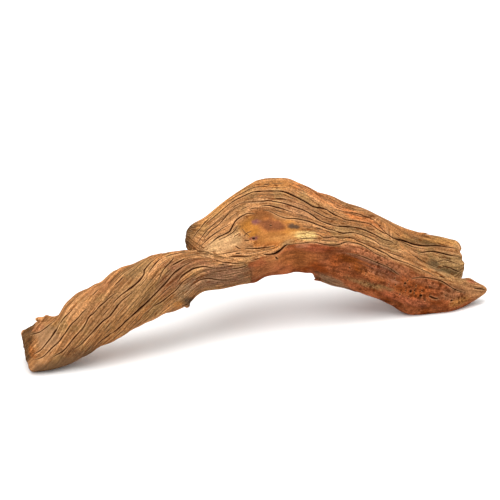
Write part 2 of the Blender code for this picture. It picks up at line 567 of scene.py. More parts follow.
NUDGES: tuple[tuple[Oval, float], ...] = (
    (Oval(-170, 51, 9, 8), -4.6), (Oval(-184, 42, 7, 8), -1.6),
    (Oval(-218, 14, 12, 8), -2.0), (Oval(-200, 28, 8, 8), -1.2),
    (Oval(-150, 62, 9, 9), 1.2), (Oval(-138, 68, 14, 9), -2.2),
    (Oval(6, 160, 34, 10), 1.2), (Oval(50, 150, 20, 9), 1.6),
    (Oval(86, 134, 14, 9), -2.7), (Oval(116, 124, 20, 9), 2.0),
    (Oval(142, 112, 24, 9), 2.0), (Oval(-42, 44, 18, 9), -1.2),
    (Oval(-14, 52, 14, 8), -3.0), (Oval(20, 62, 20, 8), -1.2),
    (Oval(56, 56, 8, 6), 3.2), (Oval(76, 44, 12, 7), -1.6),
    (Oval(250, 40, 10, 7), 1.6), (Oval(212, 18, 14, 7), -1.4),
    (Oval(-95, 20, 14, 7), -0.6), (Oval(-112, 12, 16, 7), -2.0),
    (Oval(226, 90, 8, 5), 2.0), (Oval(215, 53, 14, 6), -6.0),
    (Oval(-200, -28, 14, 8), 1.3), (Oval(150, 24, 8, 7), 1.2),
    (Oval(236, 47, 6, 5), 2.4), (Oval(-247, 2, 9, 7), -2.8),
    (Oval(170, 101, 16, 8), 1.4), (Oval(120, 34, 20, 7), -0.9),
    (Oval(164, 18, 14, 7), -1.2),
)

# The stub's broken end: a lip that stands out along the log, and two notches in it.

END_SHIFTS: tuple[tuple[Oval, float], ...] = (
    (Oval(231, 66, 10, 7), 1.6), (Oval(232, 80, 8, 3.5), -3.0),
    (Oval(232, 72, 8, 2.8), -2.4),
)

# Wood that is rubbed smooth: its oval, how near its middle that starts and is full, and
# how smooth it gets. The knot, the arm's belly, its broken facet and the lobe's ledge.

RUBBED: tuple[tuple[Oval, Span, float], ...] = (
    (Oval(8, 106, 34, 19), (0.25, 0.6), 1.0), (Oval(-220, -38, 36, 13), (0.3, 0.6), 0.95),
    (Oval(-226, -8, 14, 11), (0.3, 0.6), 0.8), (Oval(-40, 88, 26, 9), (0.3, 0.6), 0.5),
)

# Broad swells and dips in the front, in mm: the knot's dome and a dip in the red face.

SWELLS: tuple[tuple[Oval, float], ...] = (
    (Oval(7, 108, 24, 15), 2.6), (Oval(93, 68, 13, 8), -1.6),
)

FORK = Oval(130, 110, 28, 17)


# ---------------------------------------------------------------- cracks


@dataclass(frozen=True)
class Crack:
    """A drying crack that was placed on the log's leaning face.

    Attributes:
        line: x and height of its points, in mm.
        width: half its width at its widest, in mm.
        depth: how deep it is, in mm.
    """

    line: Points
    width: float = 0.7
    depth: float = 1.8


FACE_CRACKS: tuple[Crack, ...] = (
    # up the long arm, from its broken end
    Crack(((-240, -26), (-232, -21), (-222, -9), (-217, -1), (-213, 6), (-209, 11),
           (-203, 17), (-198, 22)), 0.8, 2.4),
    Crack(((-245, -6), (-235, -3), (-227, 2), (-222, 6), (-217, 11)), 0.55, 1.4),
    Crack(((-241, -32), (-231, -29), (-224, -23), (-218, -17), (-211, -10), (-205, -2),
           (-200, 5), (-194, 11), (-188, 18), (-182, 23)), 0.65),
    Crack(((-225, -32), (-217, -27), (-209, -22), (-202, -15), (-195, -6), (-188, 1),
           (-185, 7), (-182, 13), (-176, 18), (-171, 24), (-165, 29), (-157, 36),
           (-151, 39)), 0.7, 2.0),
    Crack(((-199, -21), (-192, -17), (-185, -10), (-179, -4), (-173, 3), (-167, 9),
           (-161, 14), (-154, 23), (-149, 29), (-143, 34), (-134, 41)), 0.7, 2.0),
    Crack(((-184, -26), (-178, -20), (-169, -12), (-160, -6), (-152, 0), (-145, 7),
           (-132, 19), (-123, 27), (-115, 35), (-106, 45), (-101, 51), (-95, 58),
           (-89, 63), (-82, 68), (-74, 71)), 1.0, 3.0),
    Crack(((-158, 27), (-150, 35), (-140, 42), (-131, 50), (-126, 57), (-125, 62),
           (-120, 69), (-114, 74)), 0.9, 2.2),
    Crack(((-121, 59), (-117, 65), (-112, 71), (-108, 74)), 0.55),
    Crack(((-112, 48), (-107, 59), (-103, 65), (-97, 72), (-95, 76)), 0.6),
    Crack(((-92, 47), (-87, 54), (-81, 59), (-74, 63), (-65, 65), (-58, 64), (-51, 62)),
          0.8, 2.0),
    Crack(((-130, 11), (-117, 22), (-106, 29), (-99, 35), (-92, 41), (-85, 49),
           (-79, 53), (-72, 56)), 0.6),
    Crack(((-79, 44), (-72, 48), (-67, 51), (-58, 52), (-46, 50), (-32, 51)), 0.65),
    # between the lobe and the arm
    Crack(((-84, 76), (-74, 78), (-64, 76), (-55, 74), (-46, 71), (-37, 69), (-28, 68),
           (-19, 70)), 0.8, 2.4),
    # over the lobe and the hump
    Crack(((-65, 92), (-63, 97), (-57, 104), (-48, 111), (-37, 124), (-26, 131)), 0.5),
    Crack(((-60, 87), (-51, 95), (-44, 99), (-37, 103), (-33, 110), (-30, 115),
           (-25, 119), (-18, 122), (-9, 122)), 0.85, 2.4),
    Crack(((-49, 93), (-39, 98), (-32, 103), (-28, 109)), 0.5),
    Crack(((-62, 112), (-50, 122), (-40, 131), (-32, 137), (-22, 142), (-12, 146),
           (2, 147), (13, 147), (22, 146), (34, 141), (46, 135), (55, 130), (66, 128),
           (79, 121), (91, 116), (108, 114), (119, 111), (130, 104), (142, 99),
           (157, 92), (171, 86), (185, 84)), 1.0, 2.6),
    Crack(((-44, 118), (-34, 128), (-24, 134), (-6, 135), (4, 136), (13, 135),
           (22, 133), (34, 129), (45, 125), (53, 120), (62, 114), (78, 109), (95, 108),
           (107, 106), (120, 101), (132, 95), (143, 92), (154, 86), (162, 79),
           (175, 74), (185, 67), (191, 62)), 0.75, 2.0),
    Crack(((-3, 127), (7, 124), (15, 120), (24, 117), (36, 116), (50, 113), (66, 107),
           (76, 104), (87, 101), (98, 102), (112, 98), (121, 94), (129, 89), (142, 85),
           (156, 81), (164, 74)), 0.7, 2.0),
    # down the trunk into the stub
    Crack(((86, 125), (99, 124), (111, 121), (120, 118), (126, 114), (134, 105),
           (143, 98), (160, 93), (178, 88), (199, 88), (214, 86), (228, 84)), 1.15, 2.8),
    Crack(((171, 83), (181, 80), (193, 81), (206, 79), (220, 76), (230, 75)), 0.9, 2.4),
    Crack(((200, 69), (210, 71), (219, 69), (230, 65)), 0.5, 1.2),
    Crack(((204, 62), (213, 63), (223, 59), (232, 56)), 0.6, 1.2),
    Crack(((122, 114), (131, 110), (138, 106), (143, 100)), 0.45, 1.2),
    Crack(((67, 133), (77, 128), (88, 125), (100, 122), (113, 118)), 0.5, 1.4),
    Crack(((66, 97), (72, 98), (84, 95), (96, 97), (107, 93)), 0.4, 1.0),
    Crack(((-79, 93), (-70, 105), (-61, 116), (-48, 128)), 0.55, 1.6),
    Crack(((-73, 88), (-63, 102), (-52, 113), (-43, 120)), 0.5, 1.4),
    Crack(((-69, 86), (-56, 98), (-45, 106), (-35, 111)), 0.5, 1.4),
    # down the trunk into the tongue
    Crack(((44, 102), (50, 100), (59, 99), (66, 96), (78, 97), (95, 96), (103, 93),
           (115, 88), (126, 83), (136, 78), (144, 73), (157, 69), (171, 64), (184, 58),
           (194, 52)), 0.8, 2.2),
    Crack(((24, 88), (32, 89), (42, 90), (53, 91), (68, 88), (80, 88), (90, 91),
           (101, 90), (111, 86), (122, 79), (131, 75), (141, 71)), 0.6, 1.6),
    Crack(((88, 79), (98, 78), (108, 75), (118, 71), (128, 67), (138, 63), (147, 57),
           (155, 52)), 0.6, 1.2),
    Crack(((165, 50), (175, 52), (186, 51), (199, 48), (209, 42), (219, 37), (230, 34)),
          0.7, 1.6),
    Crack(((240, 39), (247, 38), (255, 37)), 0.8),
    Crack(((186, 31), (192, 28), (198, 27)), 1.2, 2.0),
    # under the knot, the deepest one, and the short ones round it
    Crack(((-1, 78), (5, 78), (12, 79), (17, 82), (21, 86), (25, 89)), 1.4, 4.0),
    Crack(((12, 75), (15, 72)), 0.8),
    Crack(((-31, 87), (-28, 85), (-25, 84)), 0.7),
    Crack(((-24, 106), (-20, 101), (-15, 97)), 0.45),
    Crack(((-13, 103), (-18, 101), (-22, 97)), 0.4),
)
WORM_HOLES: Points = (
    (139, 44), (141, 37), (159, 37), (169, 37), (169, 34), (161, 48), (136, 66),
    (112, 56), (147, 44), (171, 42), (187, 41), (182, 26), (206, 31), (146, 51),
    (94, 63), (22, 77), (7, 109), (178, 37), (152, 33), (163, 30),
)
WIDE_HOLES: Points = ((177, 31), (158, 45), (165, 36), (-11, 95), (213, 25))


@dataclass
class CrackLines:
    """All cracks as dense lines of points on the surface, sorted into channels.

    Two cracks that run close together are kept in different channels, so that near
    each one the distance to it can be stored on the surface without a break.

    Attributes:
        channels: for each channel, its points, their tangents, sideways directions,
            half widths and depths.
    """

    CHANNELS = 6
    PER_ATTRIBUTE = 3       # channels that one stored vector holds
    REACH = 3.0             # mm, the furthest from a crack that its distance is stored
    REACH_OF = (1.4, 2.2)   # mm, that distance for no width, and what each mm of it adds
    FADES = 0.7             # mm, over which a crack fades before its reach ends
    FADES_PAST = (2.0, 0.8)   # mm past a crack's end, where it is gone and where it starts
    FEWEST = 4              # points in a crack
    RIPPLE = 0.35           # how much a crack's width and depth vary
    FAR = 1e3               # mm, to the cracks of an empty channel

    lines: list[dict[str, Array]] = field(default_factory=list)
    channels: list[dict[str, Array]] = field(default_factory=list)

    def add(self, points: Array, normal: Array, width: float, depth: float) -> None:
        """Adds one crack.

        Args:
            points: its points in mm, about a millimetre apart.
            normal: the surface's normal at each.
            width: half its width at its widest.
            depth: its depth at its deepest.
        """
        if len(points) < self.FEWEST:
            return
        tangent = np.gradient(points, axis=0)
        tangent /= np.maximum(np.linalg.norm(tangent, axis=1, keepdims=True), 1e-6)
        side = np.cross(tangent, normal)
        side /= np.maximum(np.linalg.norm(side, axis=1, keepdims=True), 1e-6)
        ends = np.sqrt(np.sin(np.linspace(0, np.pi, len(points))).clip(0))
        ripple = 1 + self.RIPPLE * Noise.RIPPLE.at(points)
        least, more = self.REACH_OF
        self.lines.append({
            "points": points, "tangent": tangent, "side": side, "normal": normal,
            "width": width * ends * ripple, "depth": depth * ends * ripple,
            "reach": np.full(len(points), min(self.REACH, least + more * width)),
        })

    def sort(self) -> None:
        """Puts each crack in the channel where it is furthest from the others."""
        groups: list[list[dict[str, Array]]] = [[] for _ in range(self.CHANNELS)]
        for line in self.lines:
            gaps = []
            for group in groups:
                near = [
                    np.linalg.norm(line["points"][::4, None] - other["points"][None, ::4],
                                   axis=2).min()
                    for other in group
                ]
                gaps.append(min(near, default=self.FAR))
            groups[int(np.argmax(gaps))].append(line)
        self.channels = [
            {key: np.concatenate([line[key] for line in group]) for key in group[0]}
            for group in groups
        ]

    def near(self, points: Array) -> tuple[Array, Array, Array]:
        """Finds the nearest crack of each channel.

        Args:
            points: places on the surface in mm.

        Returns:
            For each point and channel, its sideways distance in mm, the crack's half
            width and its depth there. The width is 0 away from cracks.
        """
        side, width, depth = np.zeros((3, len(points), self.CHANNELS))
        for k, channel in enumerate(self.channels):
            tree = tree_of(channel["points"])
            index = np.array([tree.find(point)[1] for point in points])
            off = points - channel["points"][index]
            off -= channel["normal"][index] * np.sum(
                off * channel["normal"][index], axis=1, keepdims=True)
            sideways = np.sum(off * channel["side"][index], axis=1)
            along = np.abs(np.sum(off * channel["tangent"][index], axis=1))
            room = channel["reach"][index] - np.linalg.norm(off, axis=1)
            fade = ease(0.0, self.FADES, room) * ease(*self.FADES_PAST, along)
            side[:, k] = sideways
            width[:, k] = channel["width"][index] * fade
            depth[:, k] = channel["depth"][index] * fade
        return side, width, depth


# ---------------------------------------------------------------- stains, painted shade and painted highlights


@dataclass(frozen=True)
class TintPatch:
    """A patch of another colour on the log's leaning face: mostly stains in the wood, and
    in a few places painted shade or a painted highlight.

    Attributes:
        x: place of its middle along the log, in mm.
        height: height of its middle up the face, in mm.
        long: half its length, in mm.
        wide: half its width, in mm.
        tilt: turn of its length from the x axis, in degrees.
        colour: its colour.
        cover: how much it hides what is under it, from 0 to 1.
        soft: how much of its size its edge fades over, each way.
    """

    FRAY = (0.3, 20.0)   # the most its edge frays, and the mm of width for a full fray

    x: float
    height: float
    long: float
    wide: float
    tilt: float
    colour: str
    cover: float = 0.7
    soft: float = 0.4

    def over(self, face: Array, ragged: Array) -> Array:
        """How much of each place it covers.

        Args:
            face: x and height of the places.
            ragged: noise that frays its edge.

        Returns:
            Its cover at each place.
        """
        turn = math.radians(self.tilt)
        dx, dh = face[:, 0] - self.x, face[:, 1] - self.height
        along = (dx * math.cos(turn) + dh * math.sin(turn)) / self.long
        across = (dh * math.cos(turn) - dx * math.sin(turn)) / self.wide
        far = np.hypot(along, across)
        most, full = self.FRAY
        fray = ragged * min(most, self.wide / full)
        return self.cover * ease(1.0 + self.soft, 1.0 - self.soft, far + fray)


# Stains in the wood, with a few patches of painted shade and a painted highlight, each
# marked where it stands.
STAINS_AND_PAINTED_LIGHT: tuple[TintPatch, ...] = tuple(TintPatch(*row) for row in (
    # the arm: painted shade along its underside belly, its broken facet, and its darker
    # bend
    (-210, -40, 52, 12, 20, "#6C5038", 0.85),
    (-226, -8, 12, 11, 45, "#A67E5A", 0.7),
    (-250, -14, 8, 26, -12, "#5E4228", 0.9, 0.2),
    (-235, 1, 7, 3, 20, "#B4744C", 0.6),
    (-241, -22, 3, 7, 20, "#A85C24", 0.5),
    # these two: painted shade where the arm runs under the lobe
    (-40, 56, 30, 11, 4, "#785440", 0.8),
    (-66, 48, 20, 8, 10, "#86624A", 0.65),
    (-96, 54, 20, 9, 50, "#8A5C42", 0.65),
    (-80, 68, 26, 5, 5, "#905E42", 0.6),
    (-173, 42, 14, 6, 35, "#BA7C50", 0.6),
    (-132, 62, 16, 7, 30, "#94794E", 0.5),
    (-125, 27, 8, 4, 45, "#5E3E20", 0.8),
    (-150, 26, 42, 14, 42, "#BC8A5A", 0.45),
    (-188, 20, 16, 6, 45, "#B88658", 0.5),
    (-150, 6, 30, 8, 40, "#A2703F", 0.4),
    (-92, 25, 5, 3, 20, "#C27A38", 0.6),
    (-86, 38, 11, 7, 30, "#977A5A", 0.5),
    (-80, 27, 6, 5, 20, "#463628", 0.9),
    # the lobe, rough and dark at its end, and the crest
    (-80, 100, 9, 18, -15, "#73512F", 0.7),
    (-86, 98, 6, 17, -6, "#5E4228", 0.8),
    # painted highlight on the upward-facing ledge under the lobe
    (-45, 88, 26, 8, 20, "#E0B27E", 0.65),
    (-28, 128, 24, 11, 42, "#A27046", 0.5),
    (-42, 76, 30, 3, -8, "#D49C66", 0.6),
    (-42, 134, 36, 4, 42, "#C08446", 0.6),
    (6, 155, 36, 6, 0, "#BC7C42", 0.7),
    (71, 137, 44, 6, -27, "#BE7442", 0.6),
    (110, 117, 26, 5, -24, "#BF6C38", 0.5),
    (150, 102, 26, 4, -30, "#BE7C42", 0.4),
    (39, 128, 26, 8, -22, "#A87450", 0.5),
    (4, 126, 16, 4, 0, "#94623C", 0.6),
    (95, 104, 18, 4, -8, "#8E7048", 0.5),
    # the knot: an orange field, a purple-brown heart, smudges
    (12, 96, 30, 11, 5, "#BE7A3C", 0.85),
    (-14, 107, 10, 11, 50, "#C47E34", 0.85),
    (26, 106, 12, 8, -20, "#CE8840", 0.85),
    (2, 88, 16, 3, 4, "#B26C36", 0.7),
    (20, 96, 16, 2.4, 6, "#D09050", 0.7),
    (0, 119, 12, 6, -20, "#94592F", 0.85),
    (8, 109, 16.5, 8, -8, "#B9723C", 0.95, 0.15),
    (8, 109, 14.5, 6.4, -8, "#865032", 0.95, 0.15),
    (-9, 113, 5, 3, 0, "#8A5454", 0.9, 0.3),
    (32, 108, 7, 3, -6, "#5A4436", 0.95, 0.3),
    (44, 98, 12, 5, -4, "#EEC67E", 0.9),
    (-11, 95, 5, 2, 8, "#6A3840", 0.9, 0.3),
    (26, 91, 8, 3, 20, "#967650", 0.7),
    # the sheltered red face, from its left end to its right
    (10, 74, 13, 4, 8, "#B47848", 0.7),
    (36, 74, 26, 9, 0, "#9E5C30", 0.8),
    (0, 62, 20, 6, 20, "#9A6038", 0.6),
    (57, 85, 17, 5, -4, "#86442A", 0.8),
    (41, 87, 9, 2.5, 5, "#B0704E", 0.7, 0.2),
    (60, 62, 11, 7, -35, "#7C3812", 0.85),
    (78, 71, 8, 7, 0, "#9C5026", 0.8),
    (94, 73, 13, 5, -12, "#82400F", 0.8),
    (108, 64, 14, 6, -20, "#9C5424", 0.7),
    (122, 74, 48, 5.0, -23, "#BE7A52", 0.7),
    (120, 68, 38, 1.8, -20, "#6E5040", 0.6),
    (122, 54, 15, 6, -15, "#BC7040", 0.7),
    (125, 42, 32, 3.5, -16, "#82633E", 0.8),
    (76, 47, 20, 5, -25, "#80644A", 0.8),
    (147, 31, 16, 5, -20, "#B4623E", 0.8),
    (170, 24, 15, 5, -12, "#AA6040", 0.7),
    (140, 50, 32, 2.4, -22, "#B87C5C", 0.6),
    (102, 55, 24, 3, -20, "#844424", 0.6),
    (182, 45, 22, 3, -16, "#B8744E", 0.55),
    (128, 60, 26, 2, -20, "#8A5A44", 0.5),
    (168, 39, 24, 9, -15, "#9A4E20", 0.7),
    (194, 30, 8, 4, -20, "#6E3012", 0.7),
    (222, 24, 12, 5, 20, "#A8743C", 0.7),
    (215, 33, 16, 7, 10, "#A26C48", 0.7),
    (236, 47, 6, 2, -20, "#A8503A", 0.7),
    (238, 38, 20, 8, -15, "#BE8658", 0.75),
    # the stub: olive and grey below, tan above, with painted shade under its upper slat and
    # in the gap between its lower lobe and the tongue
    (214, 64, 24, 14, -10, "#AE8A5A", 0.75),
    (196, 64, 9, 7, -40, "#5C4C36", 0.7),
    # painted shade in the gap between the stub's lower lobe and the tongue
    (214, 58, 14, 3.5, -10, "#5A4A30", 0.7),
    # painted shade under the stub's upper slat
    (183, 91.5, 25, 3.2, -8, "#705430", 0.7),
    (205, 93, 26, 4, -6, "#BC8448", 0.6),
))


# ---------------------------------------------------------------- the finish


@dataclass(frozen=True)
class WeatheredHeartwood:
    """Dry heartwood, bare of bark, bleached and split by the sun and worn by water.

    The eye reads long dark drying cracks between dull tan strands, an orange, rubbed
    knot, and red-brown wood where the log is sheltered underneath.
    """

    tan: str = "#AE784A"
    light: str = "#C48F60"
    brown: str = "#92623C"
    orange: str = "#BE7A42"
    olive: str = "#9C7C4C"
    red: str = "#9A5632"
    deep_red: str = "#70320E"
    rose: str = "#A45C38"
    # painted highlight along the lips of the long cracks
    lip_highlight: str = "#E2B482"
    crack: str = "#2A0F02"
    # also the painted shade on the rims of the long cracks
    pit: str = "#602D0A"
    rot: str = "#4A2008"
    roughness: float = 0.78
    specular: float = 0.02  # dull, so that the dark of a crack stays dark
    strand: float = 4.2     # mm, width of a bundle of fibres
    fibre: float = 1.6      # mm; real fibres are finer, but wouldn't show
    check: float = 5.0      # mm, from one hairline crack to the next
    lump: float = 4.5       # mm, across a lump of worm-eaten wood
    mottle: float = 24.0    # mm, across a patch where the colour drifts
    speck: float = 1.6      # mm; real pores are finer, but wouldn't show
    shade: float = 0.82     # tone of the whole under these lamps
    rubbed: float = 0.4     # how much of its texture rubbed wood keeps

    def patterns(self, add: Any, grain: Any, here: Any) -> dict[str, Any]:
        """Makes the noises that the finish is mixed from.

        Args:
            add: adds a node to the material.
            grain: the socket that gives the place along the grain.
            here: the socket that gives the place on the log.

        Returns:
            The sockets by name, each from 0 to 1.
        """
        made = {}
        for name, length, across, detail, rough in (
            ("strands", 70.0, self.strand, 3.0, 0.6),
            ("fibres", 16.0, self.fibre, 4.0, 0.75),
            ("dashes", 8.0, 1.4, 1.0, 0.5), ("checks", 85.0, self.check, 2.0, 0.5),
            ("broken", 30.0, 9.0, 1.0, 0.5), ("drift", 45.0, 11.0, 2.0, 0.5),
            ("lumps", 16.0, self.lump, 4.0, 0.7),
        ):
            thin = 1 / (across * MM)
            drawn = add("Mapping", {0: grain, "Scale": (1 / (length * MM), thin, thin)})
            made[name] = add("TexNoise", {"Vector": drawn[0], "Scale": 1.0,
                                          "Detail": detail, "Roughness": rough})[0]
        for name, size, detail, rough in (
            ("mottle", self.mottle, 4.0, 0.5), ("specks", self.speck, 2.0, 0.7),
        ):
            made[name] = add("TexNoise", {"Vector": here, "Scale": 1 / (size * MM),
                                          "Detail": detail, "Roughness": rough})[0]
        return made

    def crack_masks(self, add: Any) -> dict[str, Any]:
        """Makes the masks of the long cracks: each one's core, its rim of painted shade and
        its lip of painted highlight.

        Args:
            add: adds a node to the material.

        Returns:
            The sockets by name, each from 0 to 1.
        """
        masks: dict[str, Any] = {"core": 0.0, "rim": 0.0, "lit_lip": 0.0}
        for group in range(CrackLines.CHANNELS // CrackLines.PER_ATTRIBUTE):
            side, wide = (
                add("SeparateXYZ", {0: add(
                    "Attribute", attribute_name=stored.value.format(group))["Vector"]})
                for stored in (Stored.CRACK_SIDE, Stored.CRACK_WIDE)
            )
            for k in range(CrackLines.PER_ATTRIBUTE):
                off = add("Math", {0: side[k]}, operation="ABSOLUTE")[0]
                some = add("Math", {0: wide[k], 1: 0.0005}, operation="ADD")[0]
                share = add("Math", {0: off, 1: some}, operation="DIVIDE")[0]
                there = add("MapRange", {0: wide[k], 1: 0.0, 2: 0.2},
                            interpolation_type="SMOOTHSTEP")[0]
                # Half widths from the middle where each mask starts and is full.
                # the rim is painted shade next to the crack, the lip a painted highlight
                # further out
                for name, start, full, most in (
                    ("core", 1.05, 0.55, 1.0), ("rim", 2.1, 0.8, 1.0),
                    ("lit_lip", 5.0, 3.0, there),
                ):
                    mask = add("MapRange", {0: share, 1: start, 2: full, 3: 0.0, 4: most},
                               interpolation_type="SMOOTHSTEP")[0]
                    masks[name] = add("Math", {0: masks[name], 1: mask},
                                      operation="MAXIMUM")[0]
        return masks

    def wormy(self, add: Any, here: Any, rotten: Any) -> Any:
        """Makes the mask of large and small pits in the worm-eaten wood."""
        pits = 0.0
        for size, edge, heart, most in ((5.2, 0.44, 0.24, 1.0), (2.6, 0.34, 0.16, 0.7)):
            cells = add("TexVoronoi", {"Vector": here, "Scale": 1 / (size * MM)})[0]
            pit = add("MapRange", {0: cells, 1: edge, 2: heart, 3: 0.0, 4: most},
                      interpolation_type="SMOOTHSTEP")[0]
            pits = add("Math", {0: pits, 1: pit}, operation="MAXIMUM")[0]
        return add("Math", {0: pits, 1: rotten}, operation="MULTIPLY")[0]

    def material(self) -> bpy.types.Material:
        """Builds the material.

        Returns:
            The new material.
        """
        made = bpy.data.materials.new("weathered_heartwood")
        made.use_nodes = True
        tree = made.node_tree
        tree.nodes.clear()
        add = partial(node, tree)
        grain, worn, rot, stain = (
            add("Attribute", attribute_name=stored.value)
            for stored in (Stored.GRAIN, Stored.WORN_AND_SHADING, Stored.ROT, Stored.STAIN_AND_LIGHT_TINT)
        )
        here = add("TexCoord")["Object"]
        smooth, hollow_shading, red = add("SeparateXYZ", {0: worn["Vector"]})
        rotten = add("SeparateXYZ", {0: rot["Vector"]})[0]
        field = self.patterns(add, grain["Vector"], here)
        masks = self.crack_masks(add)
        pits = self.wormy(add, here, rotten)

        # Colour: tan strands that drift to orange and olive, red below, then the stains
        # with their painted shade and painted highlights.
        wood, red_wood = (
            add("ValToRGB", {0: field[name]},
                stops=[(at, linear(colour)) for at, colour in stops])[0]
            for name, stops in (
                ("strands", ((0.34, self.brown), (0.48, self.tan), (0.68, self.light))),
                ("mottle", ((0.36, self.deep_red), (0.50, self.red), (0.64, self.rose))),
            )
        )
        patches = [
            add("MapRange", {0: field[name], 1: bare, 2: full, 3: 0.0, 4: 0.45},
                interpolation_type="SMOOTHSTEP")[0]
            for name, bare, full in (("drift", 0.50, 0.66), ("mottle", 0.48, 0.36))
        ]
        for cover, colour in (
            (patches[0], linear(self.orange)), (patches[1], linear(self.olive)),
            (red, red_wood), (stain["Alpha"], stain["Color"]),
        ):
            wood = add("Mix", {0: cover, 6: wood, 7: colour}, data_type="RGBA")[2]

        # Light and dark: strands, fibres and specks, worn off where it is smooth, with
        # lumps where it is red, painted shade in the hollows and a painted highlight on the
        # ridges.
        tone: Any = 1.0
        for name, low, high, dark, pale in (
            ("strands", 0.3, 0.7, 0.78, 1.22), ("fibres", 0.32, 0.68, 0.52, 1.48),
            ("specks", 0.32, 0.68, 0.50, 1.50),
        ):
            band = add("MapRange", {0: field[name], 1: low, 2: high, 3: dark, 4: pale})[0]
            tone = add("Math", {0: tone, 1: band}, operation="MULTIPLY")[0]
        texture = add("MapRange", {0: smooth, 3: 1.0, 4: self.rubbed})[0]
        tone = add("Mix", {0: texture, 2: 1.0, 3: tone})[0]
        lumpy = add("MapRange", {0: field["lumps"], 1: 0.3, 2: 0.7, 3: 0.58, 4: 1.42})[0]
        lumped = add("MapRange", {0: red, 3: 0.25, 4: 1.0})[0]
        lumpy = add("Mix", {0: lumped, 2: 1.0, 3: lumpy})[0]
        # painted shade in the hollows and a painted highlight on the ridges
        hollow_shade_and_ridge_highlight = add("MapRange", {0: hollow_shading, 1: -1.0, 2: 1.0, 3: 1.32, 4: 0.46})[0]
        for band in (hollow_shade_and_ridge_highlight, lumpy, self.shade):
            tone = add("Math", {0: tone, 1: band}, operation="MULTIPLY")[0]
        grey = add("CombineColor", {0: tone, 1: tone, 2: tone})[0]
        wood = add("Mix", {0: 1.0, 6: wood, 7: grey}, data_type="RGBA",
                   blend_type="MULTIPLY")[2]

        # Short dashes and hairlines along the strands, none of them on smooth wood.
        dashed = add("MapRange", {0: smooth, 3: 0.75, 4: 0.75 * self.rubbed})[0]
        dash = add("MapRange", {0: field["dashes"], 1: 0.36, 2: 0.30, 3: 0.0, 4: dashed},
                   interpolation_type="SMOOTHSTEP")[0]
        split = add("MapRange", {0: smooth, 3: 0.9, 4: 0.0})[0]
        split = add("MapRange", {0: field["broken"], 1: 0.40, 2: 0.52, 3: 0.0, 4: split},
                    interpolation_type="SMOOTHSTEP")[0]
        level = add("Math", {0: field["checks"], 1: 0.5}, operation="SUBTRACT")[0]
        level = add("Math", {0: level}, operation="ABSOLUTE")[0]
        hair = add("MapRange", {0: level, 1: 0.016, 2: 0.004, 3: 0.0, 4: split},
                   interpolation_type="SMOOTHSTEP")[0]
        # the cracks' rims get painted shade and their lips a painted highlight
        for mask, cover, colour in (
            (dash, 1.0, self.pit), (masks["lit_lip"], 0.16, self.lip_highlight),
            (masks["rim"], 0.5, self.pit), (hair, 0.85, self.pit), (pits, 0.8, self.rot),
            (masks["core"], 0.92, self.crack),
        ):
            share = add("Math", {0: mask, 1: cover}, operation="MULTIPLY")[0]
            wood = add("Mix", {0: share, 6: wood, 7: linear(colour)}, data_type="RGBA")[2]

        # Relief, in mm: fibres and lumps stand out, hairlines, cracks and pits cut in.
        height: Any = 0.0
        for name, rise in (("fibres", 0.7), ("strands", 1.2), ("specks", 0.4)):
            height = add("Math", {0: field[name], 1: rise * MM, 2: height},
                         operation="MULTIPLY_ADD")[0]
        height = add("Math", {0: height, 1: texture}, operation="MULTIPLY")[0]
        lumps = add("Math", {0: field["lumps"], 1: red}, operation="MULTIPLY")[0]
        for mask, rise in ((lumps, 2.2), (hair, -0.5), (masks["core"], -0.8), (pits, -0.9)):
            height = add("Math", {0: mask, 1: rise * MM, 2: height},
                         operation="MULTIPLY_ADD")[0]
        relief = add("Bump", {"Strength": 1.0, "Distance": 1.0, "Height": height})[0]
        shader = add("BsdfPrincipled", {
            "Base Color": wood, "Roughness": self.roughness, "Normal": relief,
            "Specular IOR Level": self.specular,
        })[0]
        add("OutputMaterial", {"Surface": shader})
        return made


# ---------------------------------------------------------------- the log


